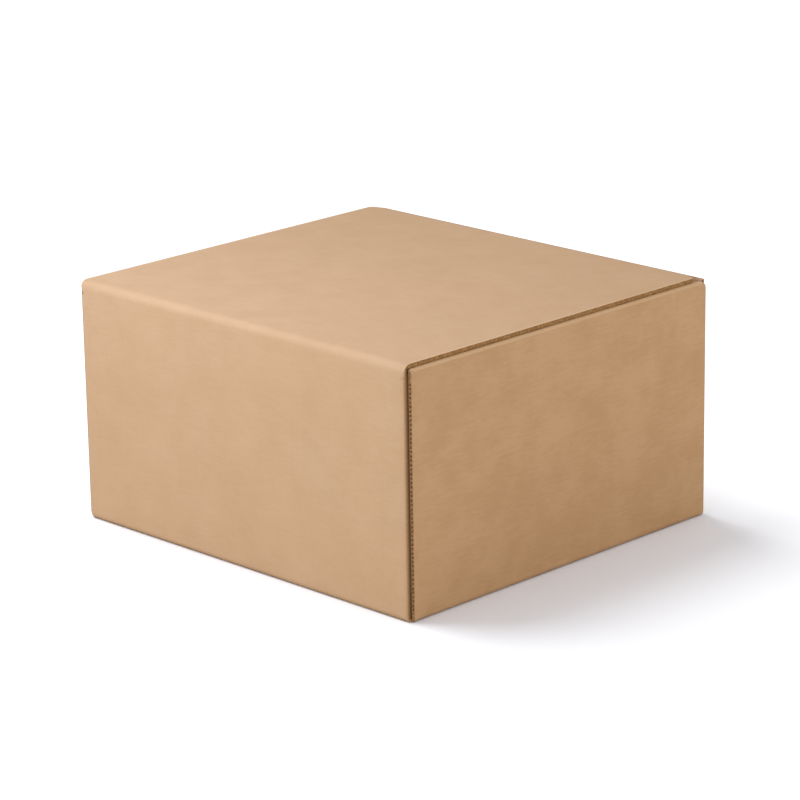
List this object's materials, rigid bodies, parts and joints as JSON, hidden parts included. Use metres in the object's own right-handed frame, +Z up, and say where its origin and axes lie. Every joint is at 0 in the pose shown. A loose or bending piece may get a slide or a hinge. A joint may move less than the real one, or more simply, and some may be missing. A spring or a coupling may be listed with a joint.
{
  "type": "cardboard box",
  "caption": "Closed corrugated cardboard mailing box folded from one sheet, with roll-over side walls and a hinged lid that tucks in at the front.",
  "frame": {"origin": "middle of the footprint, on the surface the box stands on", "axes": "+Z up; X runs along the lid's fold, which is the longest side; the back wall with the lid's fold faces -Y and the tuck flap is at +Y"},
  "size_m": [0.342, 0.316, 0.185],
  "materials": {
    "kraft_board_tray": "matte",
    "kraft_board_lid": "matte"
  },
  "bodies": {
    "tray": {"tray": "kraft_board_tray"},
    "lid": {"lid": "kraft_board_lid"}
  },
  "joints": [
    {"name": "lid_hinge", "type": "hinge", "parent": "tray", "child": "lid", "pos_m": [0, -0.15595, 0.18295], "axis": [1, 0, 0], "range_deg": [0, 170]}
  ]
}
